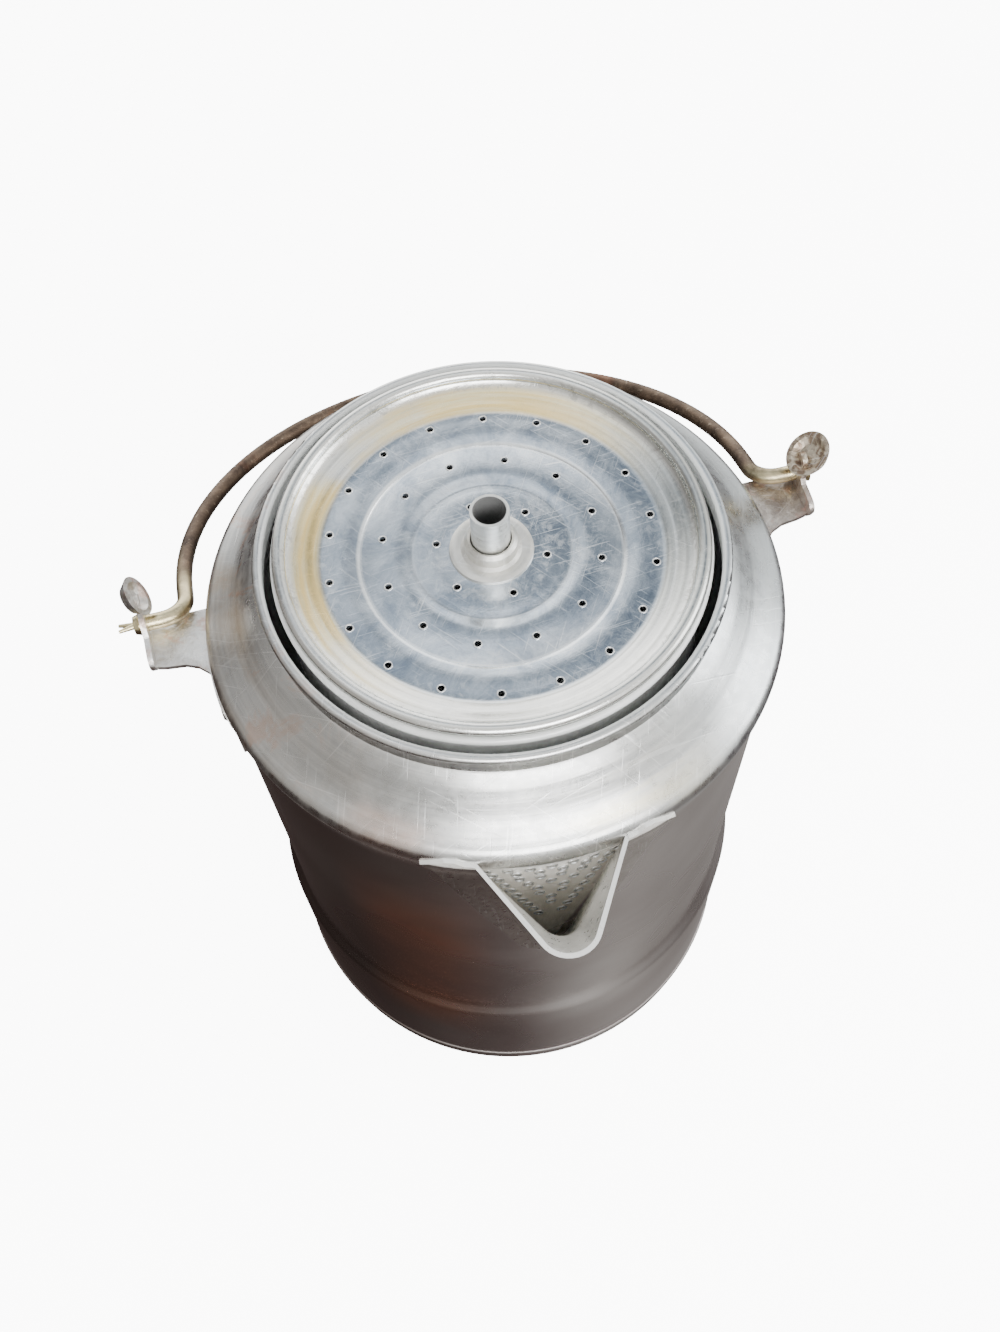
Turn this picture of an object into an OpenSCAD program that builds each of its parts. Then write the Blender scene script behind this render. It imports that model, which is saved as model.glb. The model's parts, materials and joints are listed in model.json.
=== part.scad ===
// Stovetop coffee percolator in spun aluminium, with a swinging wire bail.
// Millimetres, +Z up. The origin is the middle of the underside; the spout
// points to -Y and the two bail ears stand on +X and -X.

/* [Pot body] */
// Height of the middle of the rolled rim above the table
rim_height = 215; // [150:1:280]
// Outer radius of the straight side wall
wall_radius = 72.6; // [60:0.1:95]
// Sheet thickness of the spun body
body_sheet = 1.2; // [0.8:0.1:2]
// Outer radius of the upright neck
neck_radius = 57.6; // [50:0.1:65]
// Height of the neck under the rolled rim
neck_height = 5.8; // [4:0.1:12]
// Section radius of the rolled rim
rim_bead = 1.25; // [0.9:0.05:2]
// How far the shoulder stands out past the wall
shoulder_overhang = 1.8; // [0.8:0.1:3]
// Rounding radius of the shoulder edge
shoulder_round = 5; // [3:0.5:8]
// How far the base band stands out past the wall
base_step = 2.8; // [1:0.1:5]
// Height of the wide base band
base_band = 60.4; // [20:0.1:90]

/* [Pouring spout] */
// How far the lip reaches past the wall
spout_reach = 26; // [15:0.5:35]
// Half width of the mouth where it meets the wall
spout_half_width = 21; // [14:0.5:26]
// Length of the spout down the wall
spout_drop = 64; // [40:1:80]
// Radius of the pouring tip
spout_tip_radius = 7.8; // [3:0.1:10]
// Sheet thickness of the spout
spout_sheet = 1.2; // [0.8:0.1:1.6]
// Bore of each strainer hole behind the spout
strainer_hole = 2; // [1.2:0.1:3]

/* [Bail and ears] */
// Diameter of the bail wire
wire_diameter = 4.3; // [3:0.1:6]
// Length of each bail leg before the round loop starts
bail_leg = 11.8; // [9:0.1:60]
// Angle of the bail below level when it is folded back
bail_rest = 20; // [5:1:25]
// Depth of the hinge line below the widest part of the shoulder
hinge_drop = 1.2; // [0:0.1:4]
// Distance of the hinge line behind the axis of the pot
hinge_back = 16.5; // [0:0.1:24]
// Turn of the pair of ears away from square to the spout
ear_turn = 4; // [0:0.5:8]
// Sheet thickness of the ears
ear_sheet = 1.4; // [1:0.1:2]
// Gap between the shoulder and the outer plate of an ear
ear_reach = 13.8; // [12:0.1:18]
// Half width of the ear flange that is riveted to the wall
flange_half_width = 18.5; // [12:0.5:22]
// Height of the ear flange
flange_height = 27; // [24:1:45]
// Rivet shank diameter
rivet_shank = 3.2; // [2.4:0.1:4]

/* [Coffee basket] */
// Radial gap between the basket rim and the neck bore
basket_gap = 2.5; // [1.5:0.1:6]
// Depth of the basket under its rim
basket_depth = 46; // [30:1:70]
// Sheet thickness of the basket and its spreader
basket_sheet = 0.8; // [0.6:0.1:1.2]
// Section radius of the rolled basket rim
basket_bead = 1.1; // [0.8:0.1:1.6]
// Bore of the holes in the basket floor
basket_hole = 1.8; // [1.2:0.1:2.6]

/* [Spreader] */
// Section radius of the rolled spreader rim
spreader_bead = 1.7; // [1.2:0.1:2.4]
// Depth of the spreader plate under the middle of its rim
spreader_depth = 4.4; // [3.4:0.1:7]
// Bore of the holes in the spreader
spreader_hole = 1.6; // [1.2:0.1:2.4]
// Height of the spreader collar above its plate
collar_height = 5.1; // [3:0.1:9]

/* [Pump stem] */
// Outside diameter of the pump tube
tube_diameter = 9.5; // [8:0.1:12]
// Wall thickness of the pump tube
tube_wall = 0.8; // [0.5:0.05:1.2]
// Height of the top of the tube above the pot rim
tube_rise = 14.8; // [8:0.1:24]
// Outer radius of the pump bell
bell_radius = 42; // [30:0.5:50]
// Height of the pump bell
bell_height = 18; // [14:0.5:26]
// Radius of the loose valve disc
valve_radius = 8; // [6:0.5:10]

/* [Clearances] */
// Gap between parts that lift off one another
lift_gap = 0.3; // [0.2:0.05:0.6]
// Radial clearance of the wire in the ear holes
hinge_clearance = 0.08; // [0.02:0.01:0.1]
// Radial clearance between the tube and the sleeves around it
sleeve_clearance = 0.35; // [0.3:0.05:0.6]

/* [Hidden] */
$fn = 96;

// Pot profile, derived.
shoulder_radius = wall_radius + shoulder_overhang;
base_radius = wall_radius + base_step;
heel_round = 6;
foot_bead = 1.3;
foot_bead_height = 11;
flare_height = 6.6;
neck_foot = rim_height - neck_height;
crease_radius = neck_radius + 0.6 * (shoulder_radius - neck_radius);
crease_height = neck_foot - (crease_radius - neck_radius) * tan(44);
round_end = 62;
round_end_radius = shoulder_radius - shoulder_round * (1 - cos(round_end));
round_end_height = crease_height - (round_end_radius - crease_radius) * tan(90 - round_end);
shoulder_height = round_end_height - shoulder_round * sin(round_end);
under_shoulder = 10;
floor_top = body_sheet;

// Hinge line, ears and bail, derived.
wire_radius = wire_diameter / 2;
hinge_height = shoulder_height - hinge_drop;
bail_half = shoulder_radius + 1.35 + wire_radius;
bend_radius = 6.5;
plate_inside = shoulder_radius + ear_reach;
plate_outside = plate_inside + ear_sheet;
wire_end = plate_outside + 1.2;
web_back = 2.6;
web_top = -web_back * tan(bail_rest) - wire_radius / cos(bail_rest) - lift_gap;
flange_middle = hinge_back - 14.5;
flange_top = hinge_height + web_top + 0.9;
flange_bottom = flange_top - flange_height;
rivet_spots = [[flange_middle - 10, flange_top - 9.4], [flange_middle + 10, flange_top - 9.4],
               [flange_middle, flange_bottom + 7]];

// Basket and spreader, derived.
basket_rim_height = rim_height + 0.5;
basket_rim_radius = neck_radius - body_sheet - basket_gap - basket_bead;
basket_radius = basket_rim_radius - 0.2;
basket_floor = basket_rim_height - basket_depth;
tube_radius = tube_diameter / 2;
sleeve_bore = tube_radius + sleeve_clearance;
spreader_rim_radius = basket_rim_radius - 1.3;
bead_reach = basket_bead + spreader_bead + lift_gap;
bead_shift = basket_rim_radius - spreader_rim_radius;
spreader_rim_height = basket_rim_height + sqrt(bead_reach * bead_reach - bead_shift * bead_shift);
plate_height = spreader_rim_height - spreader_depth;
plate_radius = spreader_rim_radius - spreader_bead - 7.2;
collar_radius = sleeve_bore + 1.55;
boss_radius = collar_radius + 3.8;

// Pump, derived.
bell_bottom = floor_top + lift_gap;
bell_sheet = 0.9;
bell_top = bell_bottom + bell_height;
bell_sleeve_top = bell_top + 15;
seat_height = bell_bottom + 7;
seat_radius = valve_radius + 7;
valve_travel = 2.4;
tube_bottom = seat_height + bell_sheet + lift_gap + 0.8 + valve_travel + 0.6;
tube_top = rim_height + tube_rise;

// Points of an arc in a profile, n steps.
function arc(cr, cz, r, a0, a1, n) =
    [for (i = [0:n]) let (a = a0 + (a1 - a0) * i / n) [cr + r * cos(a), cz + r * sin(a)]];

function unit(v) = v / norm(v);
function left_of(a, b) = let (d = unit(b - a)) [-d[1], d[0]];

// A polyline moved sideways by t, to its left when t is positive.
function beside(p, t) = let (m = len(p) - 1) [for (i = [0:m])
    let (n1 = left_of(p[max(i - 1, 0)], p[max(i, 1)]),
         n2 = left_of(p[min(i, m - 1)], p[min(i + 1, m)]))
    p[i] + t * (n1 + n2) / (1 + n1 * n2)];

function reversed(p) = [for (i = [len(p) - 1:-1:0]) p[i]];

// Side of the pot from the base band up to the neck.
function side_profile() = concat(
    [[base_radius, base_band - 0.6],
     [base_radius - 0.25, base_band + 0.5],
     [base_radius - 0.8, base_band + 1.6],
     [wall_radius + 1, base_band + 3.4],
     [wall_radius + 0.3, base_band + 5],
     [wall_radius, base_band + flare_height],
     [wall_radius, shoulder_height - under_shoulder],
     [wall_radius + 0.15, shoulder_height - 7.4],
     [wall_radius + 0.62, shoulder_height - 5.2],
     [wall_radius + 1.2, shoulder_height - 3.2],
     [wall_radius + 1.62, shoulder_height - 1.6]],
    arc(shoulder_radius - shoulder_round, shoulder_height, shoulder_round, 0, round_end, 8),
    [[crease_radius, crease_height],
     [neck_radius + 0.9, neck_foot + 0.1],
     [neck_radius + 0.2, neck_foot + 0.5],
     [neck_radius, neck_foot + 1.2],
     [neck_radius, rim_height]]);

function body_profile() = concat(
    [[0, 0]],
    arc(base_radius - heel_round, heel_round, heel_round, -90, 0, 8),
    side_profile());

module ring(radius, height, section) {
    translate([0, 0, height])
        rotate_extrude()
            translate([radius, 0])
                circle(section);
}

// Everything inside the outer face of the pot.
module body_solid() {
    rotate_extrude()
        polygon(concat(body_profile(), [[0, rim_height]]));
}

// Strainer holes behind the spout, fanning out with the mouth.
module strainer_holes() {
    rows = 10;
    top = shoulder_height - 6;
    for (row = [0:rows - 1]) {
        half = spout_half_width * (0.74 - 0.066 * row);
        count = floor(2 * half / 5.1) + 1;
        for (i = [0:count - 1]) {
            x = half * (count > 1 ? 2 * i / (count - 1) - 1 : 0);
            translate([0, 0, top - row * spout_drop * 0.059])
                rotate([90, 0, asin(x / wall_radius)])
                    translate([0, 0, wall_radius - 6])
                        cylinder(d = strainer_hole, h = 12, $fn = 24);
        }
    }
}

module rivet_holes(side) {
    for (spot = rivet_spots)
        ear_frame(side)
            rotate([0, 0, asin(spot[0] / wall_radius)])
                translate([wall_radius - 6, 0, spot[1]])
                    rotate([0, 90, 0])
                        cylinder(d = rivet_shank, h = 12, $fn = 32);
}

// Turns an ear built on +X to the side it belongs on.
module ear_frame(side) {
    rotate([0, 0, ear_turn])
        if (side > 0)
            children();
        else
            mirror([1, 0, 0])
                children();
}

module pot_body() {
    color("silver") {
        difference() {
            rotate_extrude()
                polygon(concat(body_profile(), reversed(beside(body_profile(), body_sheet))));
            strainer_holes();
            rivet_holes(1);
            rivet_holes(-1);
        }
        ring(neck_radius - 0.35, rim_height, rim_bead);
        ring(base_radius - foot_bead + 0.55, foot_bead_height, foot_bead);
    }
}

lip_height = shoulder_height + 1.5;
lip_slope = -4;
spout_bottom = shoulder_height - 1.2 - spout_drop;
beak = 9;

// Outline of the mouth at one reach past the wall, seen from above.
function mouth(half, reach, r, grow) = concat(
    [[half + 0.9 * grow, -wall_radius + 5], [-half - 0.9 * grow, -wall_radius + 5]],
    [for (a = [205:10:335]) [(r + grow) * cos(a), -wall_radius - reach + r + (r + grow) * sin(a)]]);

// Solid spout; grow is negative for the inside of the sheet.
module spout_form(grow, over) {
    hull() {
        translate([0, -wall_radius, lip_height])
            rotate([lip_slope, 0, 0])
                translate([0, wall_radius, 0])
                    linear_extrude(0.01 + over)
                        polygon(mouth(spout_half_width, spout_reach, spout_tip_radius, grow));
        translate([0, 0, lip_height - beak])
            linear_extrude(0.01)
                polygon(mouth(spout_half_width - 1, spout_reach - 7.5, spout_tip_radius - 0.8, grow));
    }
    hull() {
        translate([0, 0, lip_height - beak])
            linear_extrude(0.01)
                polygon(mouth(spout_half_width - 1, spout_reach - 7.5, spout_tip_radius - 0.8, grow));
        translate([0, -wall_radius + 5, spout_bottom + 6])
            rotate([90, 0, 0])
                cylinder(r = 6 + grow, h = 5.6, $fn = 32);
    }
}

// V-shaped outline seen from the front, between two half widths.
module v_prism(top_half, low_half, top, low) {
    rotate([90, 0, 0])
        linear_extrude(wall_radius + 12)
            polygon(concat(
                [[top_half, top], [-top_half, top]],
                [for (a = [195:15:345]) [low_half * cos(a), low + low_half + low_half * sin(a)]]));
}

// Front outline of the flanges: the top edge dips from the mouth to the tips.
function flange_front() = concat(
    [[spout_half_width + 9.5, lip_height - 1.6], [spout_half_width + 7, lip_height - 0.3],
     [spout_half_width + 4, lip_height + 0.9], [spout_half_width + 1.5, lip_height + 1],
     [spout_half_width - 0.5, lip_height + 0.2],
     [-spout_half_width + 0.5, lip_height + 0.2], [-spout_half_width - 1.5, lip_height + 1],
     [-spout_half_width - 4, lip_height + 0.9], [-spout_half_width - 7, lip_height - 0.3],
     [-spout_half_width - 9.5, lip_height - 1.6]],
    [for (a = [195:15:345]) [9 * cos(a), spout_bottom + 5.5 + 9 * sin(a)]]);

module spout() {
    color("gainsboro") {
        difference() {
            spout_form(0, 0);
            spout_form(-spout_sheet, 9);
            body_solid();
        }
        difference() {
            intersection() {
                rotate_extrude()
                    polygon(concat(beside(side_profile(), -1), reversed(side_profile())));
                rotate([90, 0, 0])
                    linear_extrude(wall_radius + 12)
                        polygon(flange_front());
            }
            v_prism(spout_half_width - 0.9, 5, lip_height + 9, spout_bottom + 0.8);
        }
    }
}

// Ear on the +X side: riveted flange, level web and pierced outer plate
// with a dished wing above it. back, out, lean and size place the wing.
module ear(back, out, lean, size) {
    difference() {
        intersection() {
            rotate_extrude()
                polygon(concat(beside(side_profile(), -ear_sheet), reversed(side_profile())));
            rotate([90, 0, 90])
                linear_extrude(shoulder_radius + 6)
                    polygon(flange_outline());
        }
        for (spot = rivet_spots)
            rotate([0, 0, asin(spot[0] / wall_radius)])
                translate([wall_radius - 6, 0, spot[1]])
                    rotate([0, 90, 0])
                        cylinder(d = rivet_shank, h = 12, $fn = 32);
    }
    difference() {
        translate([0, hinge_back, hinge_height + web_top - ear_sheet])
            linear_extrude(ear_sheet)
                polygon(web_outline());
        body_solid();
    }
    translate([plate_inside, hinge_back, hinge_height])
        rotate([90, 0, 90])
            linear_extrude(ear_sheet)
                difference() {
                    union() {
                        polygon(plate_outline());
                        translate([back, 4.4])
                            scale([0.62, 1])
                                circle(size - 1.4);
                    }
                    circle(wire_radius + hinge_clearance);
                }
    translate([plate_inside + out, hinge_back + back, hinge_height + 8.6])
        rotate([0, -lean, 0])
            difference() {
                translate([0, 0, -1.5])
                    cylinder(r1 = size - 1.6, r2 = size, h = 2.6);
                translate([0, 0, -0.3])
                    cylinder(r1 = size - 3, r2 = size - 0.8, h = 2);
            }
}

// Plan of the web, from the wall out to the plate; the back edge stops the bail.
function web_outline() = [
    [shoulder_radius - 6, web_back], [shoulder_radius - 6, -20.5],
    [shoulder_radius - 0.5, -18.6], [shoulder_radius + 1.2, -16.4],
    [shoulder_radius + 3.4, -14.2], [shoulder_radius + 6.4, -12.8],
    [plate_outside - 4, -12.2], [plate_outside - 1.6, -11.6],
    [plate_outside - 0.1, -10], [plate_outside - 0.1, web_back]];

function flange_outline() = concat(
    [[flange_middle + flange_half_width, flange_top - 0.6],
     [flange_middle + flange_half_width - 3, flange_top],
     [flange_middle - flange_half_width + 5, flange_top],
     [flange_middle - flange_half_width, flange_top - 2.4]],
    arc(flange_middle - 8, flange_bottom + 9, 9, 200, 270, 5),
    arc(flange_middle + 8, flange_bottom + 9, 9, 270, 340, 5));

// Outer plate: a round eye for the wire and a low wing along the web.
function plate_outline() = concat(
    arc(0, 0, 4.9, -35, 150, 12),
    [[-5.6, 1.4], [-8.6, 1.2]],
    arc(-10.2, -1.6, 2.6, 100, 190, 5),
    [[-11.6, web_top - ear_sheet], [3.2, web_top - ear_sheet]]);

module left_ear() {
    color("lightgray")
        ear_frame(-1)
            ear(2.6, 0.8, 64, 5.4);
}

module right_ear() {
    color("lightgray")
        ear_frame(1)
            ear(-1.6, 2.4, 38, 6.3);
}

// Three domed rivets holding one ear to the wall.
module rivets(side) {
    for (spot = rivet_spots)
        ear_frame(side)
            rotate([0, 0, asin(spot[0] / wall_radius)])
                translate([0, 0, spot[1]])
                    rivet(wall_radius);
}

module rivet(seat) {
    inner = seat - body_sheet - 0.35;
    outer = seat + ear_sheet + 0.1;
    translate([inner - 1, 0, 0])
        rotate([0, 90, 0])
            cylinder(d = rivet_shank, h = outer - inner + 1.4, $fn = 32);
    translate([outer, 0, 0])
        rotate([0, 90, 0])
            cylinder(r1 = rivet_shank * 0.85, r2 = rivet_shank * 0.45, h = 1.4, $fn = 32);
    translate([inner - 1, 0, 0])
        rotate([0, 90, 0])
            cylinder(r1 = rivet_shank * 0.6, r2 = rivet_shank * 0.85, h = 1, $fn = 32);
}

module left_ear_rivets() {
    color("silver")
        rivets(-1);
}

module right_ear_rivets() {
    color("silver")
        rivets(1);
}

// One leg of the bail with its outward bend and the pin through the ear.
module bail_side() {
    translate([bail_half, bend_radius, 0])
        rotate([-90, 0, 0])
            cylinder(r = wire_radius, h = bail_leg - bend_radius);
    translate([bail_half + bend_radius, bend_radius, 0])
        rotate([0, 0, 180])
            rotate_extrude(angle = 90)
                translate([bend_radius, 0])
                    circle(wire_radius);
    translate([bail_half + bend_radius, 0, 0])
        rotate([0, 90, 0])
            cylinder(r = wire_radius, h = wire_end - bail_half - bend_radius);
}

module bail_wire() {
    color("darkkhaki")
        rotate([0, 0, ear_turn])
            translate([0, hinge_back, hinge_height])
                rotate([-bail_rest, 0, 0]) {
                    translate([0, bail_leg, 0])
                        rotate_extrude(angle = 180)
                            translate([bail_half, 0])
                                circle(wire_radius);
                    bail_side();
                    mirror([1, 0, 0])
                        bail_side();
                    translate([wire_end - 0.6, 0, 0])
                        rotate([0, 90, 0])
                            cylinder(r1 = wire_radius + 0.5, r2 = wire_radius + 1.1, h = 1.6);
                    translate([-wire_end - 0.8, 0, 0])
                        rotate([0, 90, 0])
                            cylinder(r1 = wire_radius + 0.2, r2 = wire_radius + 0.7, h = 1.4);
                    for (a = [-16, 14])
                        translate([-wire_end, 0, 0])
                            rotate([0, -90, a])
                                cylinder(r1 = 0.9, r2 = 0.45, h = 5, $fn = 24);
                }
}

module pump_tube() {
    color("ivory")
        translate([0, 0, tube_bottom])
            difference() {
                cylinder(r = tube_radius, h = tube_top - tube_bottom);
                translate([0, 0, -1])
                    cylinder(r = tube_radius - tube_wall, h = tube_top - tube_bottom + 2);
            }
}

// Outer face of the pump bell, from its foot up to the tube.
function bell_profile() = [
    [bell_radius, bell_bottom],
    [bell_radius, bell_bottom + 2.6],
    [bell_radius - 4, bell_bottom + 6.1],
    [20, bell_top - 4],
    [8.5, bell_top],
    [tube_radius + bell_sheet, bell_top + 2],
    [tube_radius + bell_sheet, bell_sleeve_top]];

module pump_bell() {
    color("silver")
        difference() {
            rotate_extrude()
                polygon(concat(bell_profile(), reversed(beside(bell_profile(), bell_sheet))));
            for (a = [0:60:300])
                rotate([0, 0, a + 30])
                    translate([bell_radius - 11, 0, bell_bottom])
                        cylinder(d = 4, h = bell_height, $fn = 32);
        }
}

// Height of the underside of the bell between its two upper corners.
function bell_under(r) = let (p = beside(bell_profile(), bell_sheet), t = (p[3][0] - r) / (p[3][0] - p[4][0]))
    p[3][1] + t * (p[4][1] - p[3][1]);

module valve_seat() {
    color("silver")
        rotate_extrude()
            polygon([[4, seat_height], [seat_radius, seat_height],
                     [seat_radius, bell_under(seat_radius)],
                     [seat_radius - bell_sheet, bell_under(seat_radius - bell_sheet)],
                     [seat_radius - bell_sheet, seat_height + bell_sheet],
                     [4, seat_height + bell_sheet]]);
}

module valve_disc() {
    color("gray")
        translate([0, 0, seat_height + bell_sheet + lift_gap])
            cylinder(r = valve_radius, h = 0.8);
}

// Ring crimped on the tube; the basket stands on it.
module basket_stop() {
    color("silver")
        translate([0, 0, basket_floor - lift_gap - 4])
            difference() {
                cylinder(r1 = tube_radius + 0.9, r2 = tube_radius + 3.2, h = 4);
                translate([0, 0, -1])
                    cylinder(r = tube_radius, h = 6);
            }
}

module basket() {
    corner = 5;
    profile = concat(
        [[sleeve_bore + 0.9, basket_floor]],
        arc(basket_radius - corner - 1.2, basket_floor + corner, corner, -90, 0, 6),
        [[basket_radius, basket_floor + basket_depth * 0.55],
         [basket_radius, basket_rim_height]]);
    color("silver") {
        difference() {
            rotate_extrude()
                polygon(concat(profile, reversed(beside(profile, basket_sheet))));
            for (ring_index = [1:4])
                for (i = [0:ring_index * 6 - 1])
                    rotate([0, 0, i * 60 / ring_index])
                        translate([ring_index * basket_radius * 0.19 + 3, 0, basket_floor - 1])
                            cylinder(d = basket_hole, h = 3, $fn = 24);
        }
        ring(basket_rim_radius, basket_rim_height, basket_bead);
    }
}

// Eyelet that lines the hole in the basket floor and guides it on the tube.
module basket_eyelet() {
    color("silver")
        rotate_extrude()
            polygon([[sleeve_bore, basket_floor], [sleeve_bore + 0.9, basket_floor],
                     [sleeve_bore + 0.9, basket_floor + basket_sheet],
                     [sleeve_bore + 2.2, basket_floor + basket_sheet],
                     [sleeve_bore + 2.2, basket_floor + basket_sheet + 0.8],
                     [sleeve_bore + 0.9, basket_floor + basket_sheet + 1.4],
                     [sleeve_bore + 0.9, basket_floor + 14],
                     [sleeve_bore, basket_floor + 14]]);
}

// Top face of the spreader, from the collar boss out to the rolled rim.
function spreader_profile() = [
    [boss_radius - 3, plate_height],
    [boss_radius - 2.4, plate_height],
    [boss_radius + 1, plate_height - 0.35],
    [plate_radius * 0.36, plate_height - 0.3],
    [plate_radius * 0.42, plate_height - 0.42],
    [plate_radius * 0.45, plate_height - 0.62],
    [plate_radius * 0.47, plate_height - 0.6],
    [plate_radius * 0.49, plate_height - 0.35],
    [plate_radius * 0.515, plate_height - 0.05],
    [plate_radius * 0.54, plate_height + 0.12],
    [plate_radius * 0.57, plate_height + 0.16],
    [plate_radius * 0.61, plate_height + 0.08],
    [plate_radius * 0.66, plate_height - 0.14],
    [plate_radius * 0.71, plate_height - 0.48],
    [plate_radius * 0.745, plate_height - 0.8],
    [plate_radius * 0.76, plate_height - 0.92],
    [plate_radius * 0.768, plate_height - 0.62],
    [plate_radius * 0.785, plate_height - 0.42],
    [plate_radius * 0.82, plate_height - 0.08],
    [plate_radius * 0.855, plate_height + 0.12],
    [plate_radius * 0.89, plate_height + 0.18],
    [plate_radius * 0.94, plate_height + 0.12],
    [plate_radius - 1, plate_height + 0.1],
    [plate_radius - 0.1, plate_height + 0.24],
    [plate_radius + 0.8, plate_height + 0.7],
    [plate_radius + 2, plate_height + 1.1],
    [plate_radius + 3.4, plate_height + 1.35],
    [plate_radius + 3.9, plate_height + 1.75],
    [plate_radius + 5.2, plate_height + 2.1],
    [plate_radius + 6.4, plate_height + 2.65],
    [plate_radius + 7.1, plate_height + 3.3],
    [spreader_rim_radius - spreader_bead + 0.5, spreader_rim_height - 0.4],
    [spreader_rim_radius - spreader_bead + 0.6, spreader_rim_height]];

module spreader_plate() {
    color("lightsteelblue") {
        difference() {
            rotate_extrude()
                polygon(concat(spreader_profile(), reversed(beside(spreader_profile(), -basket_sheet))));
            spreader_holes(18, plate_radius * 0.945, 2.7);
            spreader_holes(12, plate_radius * 0.634, 12.6);
            spreader_holes(6, plate_radius * 0.321, -18);
        }
        ring(spreader_rim_radius, spreader_rim_height, spreader_bead);
    }
}

module spreader_holes(count, radius, start) {
    for (i = [0:count - 1])
        rotate([0, 0, start + i * 360 / count])
            translate([radius, 0, plate_height - 4])
                cylinder(d = spreader_hole, h = 8, $fn = 24);
}

// Short stepped collar around the tube, seated in the middle of the spreader.
module spreader_collar() {
    top = plate_height + collar_height;
    color("ivory")
        rotate_extrude()
            polygon([[sleeve_bore, plate_height - basket_sheet],
                     [boss_radius - 3, plate_height - basket_sheet],
                     [boss_radius - 3, plate_height],
                     [boss_radius - 2.4, plate_height],
                     [boss_radius, plate_height - 0.24],
                     [boss_radius - 0.2, plate_height + 0.5],
                     [boss_radius - 1.2, plate_height + 0.9],
                     [collar_radius + 0.9, plate_height + 0.8],
                     [collar_radius, plate_height + 1.4],
                     [collar_radius - 0.1, top - 0.9],
                     [collar_radius - 0.9, top],
                     [sleeve_bore, top - 0.4]]);
}

pot_body();
spout();
left_ear();
right_ear();
left_ear_rivets();
right_ear_rivets();
bail_wire();
pump_tube();
pump_bell();
valve_seat();
valve_disc();
basket_stop();
basket();
basket_eyelet();
spreader_plate();
spreader_collar();
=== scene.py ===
"""A stovetop percolator in worn spun aluminium, with its wire bail folded back."""
import json
import math

import bmesh
import bpy
from mathutils import Matrix, Vector

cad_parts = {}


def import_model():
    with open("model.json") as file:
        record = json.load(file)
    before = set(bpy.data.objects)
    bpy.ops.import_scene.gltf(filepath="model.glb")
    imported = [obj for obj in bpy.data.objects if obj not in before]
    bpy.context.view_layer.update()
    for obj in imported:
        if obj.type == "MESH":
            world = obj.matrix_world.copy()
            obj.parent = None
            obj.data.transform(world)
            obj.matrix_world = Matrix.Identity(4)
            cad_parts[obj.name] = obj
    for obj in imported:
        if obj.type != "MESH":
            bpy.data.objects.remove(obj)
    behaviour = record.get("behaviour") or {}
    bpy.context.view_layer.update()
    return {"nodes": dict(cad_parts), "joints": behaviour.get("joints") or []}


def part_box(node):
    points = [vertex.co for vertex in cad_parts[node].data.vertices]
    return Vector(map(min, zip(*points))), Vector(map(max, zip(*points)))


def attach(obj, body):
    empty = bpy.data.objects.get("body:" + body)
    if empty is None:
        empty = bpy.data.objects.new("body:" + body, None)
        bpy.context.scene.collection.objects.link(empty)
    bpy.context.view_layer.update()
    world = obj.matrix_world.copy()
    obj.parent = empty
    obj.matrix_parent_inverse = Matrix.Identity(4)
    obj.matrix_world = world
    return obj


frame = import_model()
NODES = frame["nodes"]


# ---------------------------------------------------------------- sizes, in metres

pot_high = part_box("pot_body")[1]
ear_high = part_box("right_ear")[1]
rim_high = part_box("spreader_plate")[1]
spout_low, spout_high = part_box("spout")

NECK_RADIUS = rim_high[0] + 0.0044
WALL_RADIUS = pot_high[0] - 0.00335
SHOULDER_Z = spout_high[2] - 0.0033
PLATE_RADIUS = rim_high[0] - 0.0106
PLATE_Z = rim_high[2] - 0.0061
PIVOT_X = ear_high[0] - 0.0110
TUBE_BORE = 0.0040
BASE_BAND_Z = 0.0635
SPOUT_HALF = spout_high[0]
SPOUT_TIP_Z = spout_low[2]
BAIL_SWING = next(joint for joint in frame["joints"] if joint["name"] == "bail_swing")
HINGE_Z = BAIL_SWING["pos_m"][2]

# Strainer behind the spout: rows of holes that narrow downwards.
STRAINER_ROWS = 10
STRAINER_HALF = 0.021
STRAINER_TOP_SHARE = 0.74
STRAINER_ROW_SHARE = 0.066
STRAINER_PITCH = 0.0051
STRAINER_DROP = 0.003776
STRAINER_FIRST_DROP = 0.006
STRAINER_BULGE = 0.0006
STRAINER_BULGE_ROWS = 1.6
STRAINER_BURR = (0.00118, 0.00028)

# Rings of holes in the spreader: count, share of the plate's radius, start in degrees, lift.
SPREADER_RINGS = (
    (18, 0.945, 2.7, 0.00012),
    (12, 0.634, 12.6, 0.0),
    (6, 0.321, -18.0, -0.00032),
)
SPREADER_BURR = (0.00098, 0.00020)
BURR_SIDES = 14
BURR_STEPS = 6

# Shading, floor and camera.
REFRACTION = 1.45
DULL_METALLIC = 0.1
WELD_DISTANCE = 2e-6
SHARP_EDGE_DEGREES = 32.0
FLOOR_HALF = 12.0
FLOOR_GLOW = 9.0
CAMERA_TURN, CAMERA_LIFT, CAMERA_ROLL = -98.0, 61.05, -3.13
CAMERA_LENS_MM, CAMERA_SENSOR_MM = 36.15, 36.0
CAMERA_BACK, CAMERA_ASIDE, CAMERA_DOWN = 0.3258, 0.0005, 0.0293
RIM_CENTRE = Vector((0.0, 0.0, 0.215))


# ---------------------------------------------------------------- node helper

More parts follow.
